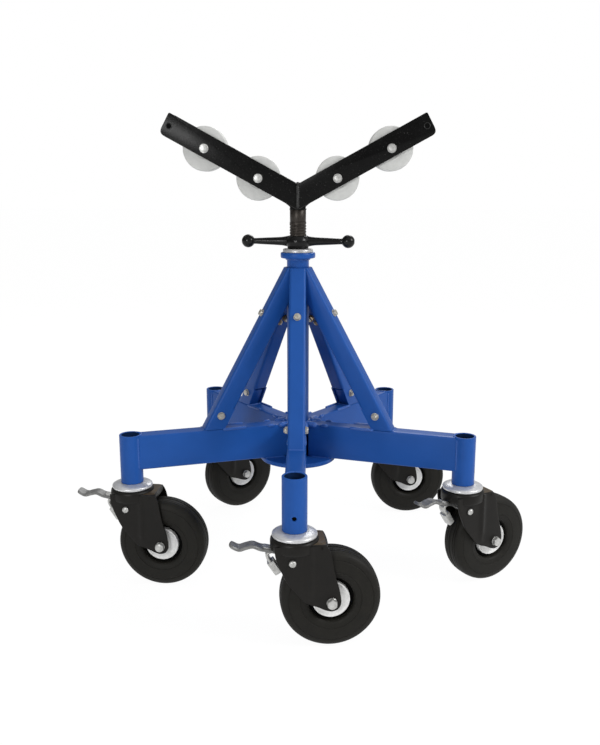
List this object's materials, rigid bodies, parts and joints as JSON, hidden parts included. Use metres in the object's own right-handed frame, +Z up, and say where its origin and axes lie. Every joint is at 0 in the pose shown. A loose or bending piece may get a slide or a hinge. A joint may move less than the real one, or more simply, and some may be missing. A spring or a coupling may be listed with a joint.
{
  "type": "pipe roller stand",
  "caption": "Mobile pipe roller stand: braced tube legs on braked swivel casters, a screw-jack column with a ball-handled nut, and a V head whose rollers cradle a pipe.",
  "frame": {"origin": "column axis at floor level", "axes": "+Z up the column, front leg along -Y, the V head spread along X"},
  "size_m": [1.0438, 0.8878, 1.0602],
  "materials": {
    "blue_paint": "semi-gloss enamel",
    "black_paint": "satin enamel, worn at the edges",
    "fork_black": "satin coating",
    "zinc": "zinc plate",
    "tyre_rubber": "matte rubber",
    "rim_silver": "silver paint",
    "screw_steel": "oiled steel",
    "nylon": "natural nylon"
  },
  "bodies": {
    "frame": {"column": "blue_paint", "hub_plate": "blue_paint", "leg_front": "blue_paint", "leg_right": "blue_paint", "leg_rear_right": "blue_paint", "leg_rear_left": "blue_paint", "leg_left": "blue_paint", "brace_front": "blue_paint", "brace_right": "blue_paint", "brace_rear_right": "blue_paint", "brace_rear_left": "blue_paint", "brace_left": "blue_paint", "caster_stem_front": "zinc", "caster_stem_right": "zinc", "caster_stem_rear_right": "zinc", "caster_stem_rear_left": "zinc", "caster_stem_left": "zinc"},
    "caster_front": {"caster_fork_front": "fork_black", "caster_axle_front": "zinc"},
    "wheel_front": {"tyre_front": "tyre_rubber", "rim_front": "rim_silver"},
    "brake_front": {"brake_pedal_front": "zinc"},
    "caster_right": {"caster_fork_right": "fork_black", "caster_axle_right": "zinc"},
    "wheel_right": {"tyre_right": "tyre_rubber", "rim_right": "rim_silver"},
    "brake_right": {"brake_pedal_right": "zinc"},
    "caster_rear_right": {"caster_fork_rear_right": "fork_black", "caster_axle_rear_right": "zinc"},
    "wheel_rear_right": {"tyre_rear_right": "tyre_rubber", "rim_rear_right": "rim_silver"},
    "brake_rear_right": {"brake_pedal_rear_right": "zinc"},
    "caster_rear_left": {"caster_fork_rear_left": "fork_black", "caster_axle_rear_left": "zinc"},
    "wheel_rear_left": {"tyre_rear_left": "tyre_rubber", "rim_rear_left": "rim_silver"},
    "brake_rear_left": {"brake_pedal_rear_left": "zinc"},
    "caster_left": {"caster_fork_left": "fork_black", "caster_axle_left": "zinc"},
    "wheel_left": {"tyre_left": "tyre_rubber", "rim_left": "rim_silver"},
    "brake_left": {"brake_pedal_left": "zinc"},
    "thrust_washer": {"thrust_washer": "zinc"},
    "jack_nut": {"jack_nut": "black_paint"},
    "head": {"jack_screw": "screw_steel", "head_block": "black_paint", "arm_front_right": "black_paint", "arm_back_right": "black_paint", "arm_back_left": "black_paint", "arm_front_left": "black_paint", "arm_spacer_right": "black_paint", "arm_spacer_left": "black_paint", "roller_bolt_inner_right": "zinc", "roller_bolt_outer_right": "zinc", "roller_bolt_inner_left": "zinc", "roller_bolt_outer_left": "zinc"},
    "roller_inner_right": {"roller_inner_right": "nylon"},
    "roller_outer_right": {"roller_outer_right": "nylon"},
    "roller_inner_left": {"roller_inner_left": "nylon"},
    "roller_outer_left": {"roller_outer_left": "nylon"}
  },
  "joints": [
    {"name": "caster_swivel_front", "type": "hinge", "parent": "frame", "child": "caster_front", "pos_m": [0, -0.397, 0.22], "axis": [0, 0, 1], "continuous": true},
    {"name": "wheel_spin_front", "type": "hinge", "parent": "caster_front", "child": "wheel_front", "pos_m": [0.07034, -0.38986, 0.1016], "axis": [-0.1011, 0.9949, 0], "continuous": true},
    {"name": "brake_press_front", "type": "hinge", "parent": "caster_front", "child": "brake_front", "pos_m": [-0.00698, -0.39771, 0.18701], "axis": [0.1011, -0.9949, 0], "range_deg": [0, 9]},
    {"name": "caster_swivel_right", "type": "hinge", "parent": "frame", "child": "caster_right", "pos_m": [0.37757, -0.12268, 0.22], "axis": [0, 0, 1], "continuous": true},
    {"name": "wheel_spin_right", "type": "hinge", "parent": "caster_right", "child": "wheel_right", "pos_m": [0.43946, -0.08851, 0.1016], "axis": [-0.4833, 0.8755, 0], "continuous": true},
    {"name": "brake_press_right", "type": "hinge", "parent": "caster_right", "child": "brake_right", "pos_m": [0.37143, -0.12607, 0.18701], "axis": [0.4833, -0.8755, 0], "range_deg": [0, 9]},
    {"name": "caster_swivel_rear_right", "type": "hinge", "parent": "frame", "child": "caster_rear_right", "pos_m": [0.23335, 0.32118, 0.22], "axis": [0, 0, 1], "continuous": true},
    {"name": "wheel_spin_rear_right", "type": "hinge", "parent": "caster_rear_right", "child": "wheel_rear_right", "pos_m": [0.30327, 0.33163, 0.1016], "axis": [-0.1478, 0.989, 0], "continuous": true},
    {"name": "brake_press_rear_right", "type": "hinge", "parent": "caster_rear_right", "child": "brake_rear_right", "pos_m": [0.22641, 0.32014, 0.18701], "axis": [0.1478, -0.989, 0], "range_deg": [0, 9]},
    {"name": "caster_swivel_rear_left", "type": "hinge", "parent": "frame", "child": "caster_rear_left", "pos_m": [-0.23335, 0.32118, 0.22], "axis": [0, 0, 1], "continuous": true},
    {"name": "wheel_spin_rear_left", "type": "hinge", "parent": "caster_rear_left", "child": "wheel_rear_left", "pos_m": [-0.17802, 0.36519, 0.1016], "axis": [-0.6225, 0.7826, 0], "continuous": true},
    {"name": "brake_press_rear_left", "type": "hinge", "parent": "caster_rear_left", "child": "brake_rear_left", "pos_m": [-0.23884, 0.31681, 0.18701], "axis": [0.6225, -0.7826, 0], "range_deg": [0, 9]},
    {"name": "caster_swivel_left", "type": "hinge", "parent": "frame", "child": "caster_left", "pos_m": [-0.37757, -0.12268, 0.22], "axis": [0, 0, 1], "continuous": true},
    {"name": "wheel_spin_left", "type": "hinge", "parent": "caster_left", "child": "wheel_left", "pos_m": [-0.30716, -0.12909, 0.1016], "axis": [0.0906, 0.9959, 0], "continuous": true},
    {"name": "brake_press_left", "type": "hinge", "parent": "caster_left", "child": "brake_left", "pos_m": [-0.38456, -0.12204, 0.18701], "axis": [-0.0906, -0.9959, 0], "range_deg": [0, 9]},
    {"name": "head_swivel", "type": "hinge", "parent": "frame", "child": "thrust_washer", "pos_m": [0, 0, 0.7548], "axis": [0, 0, 1], "continuous": true},
    {"name": "nut_turn", "type": "hinge", "parent": "thrust_washer", "child": "jack_nut", "pos_m": [0, 0, 0.778], "axis": [0, 0, -1], "range_deg": [-2834, 15873]},
    {"name": "screw_lift", "type": "slide", "parent": "thrust_washer", "child": "head", "axis": [0, 0, 1], "range_m": [-0.05, 0.28]},
    {"name": "roller_spin_inner_right", "type": "hinge", "parent": "head", "child": "roller_inner_right", "pos_m": [0.0882, 0, 0.91942], "axis": [0, 1, 0], "continuous": true},
    {"name": "roller_spin_outer_right", "type": "hinge", "parent": "head", "child": "roller_outer_right", "pos_m": [0.20631, 0, 0.98355], "axis": [0, 1, 0], "continuous": true},
    {"name": "roller_spin_inner_left", "type": "hinge", "parent": "head", "child": "roller_inner_left", "pos_m": [-0.0882, 0, 0.91942], "axis": [0, 1, 0], "continuous": true},
    {"name": "roller_spin_outer_left", "type": "hinge", "parent": "head", "child": "roller_outer_left", "pos_m": [-0.20631, 0, 0.98355], "axis": [0, 1, 0], "continuous": true}
  ],
  "couplings": [
    {"joint": "screw_lift", "follows": "nut_turn", "m_per_rad": 0.0010106}
  ]
}
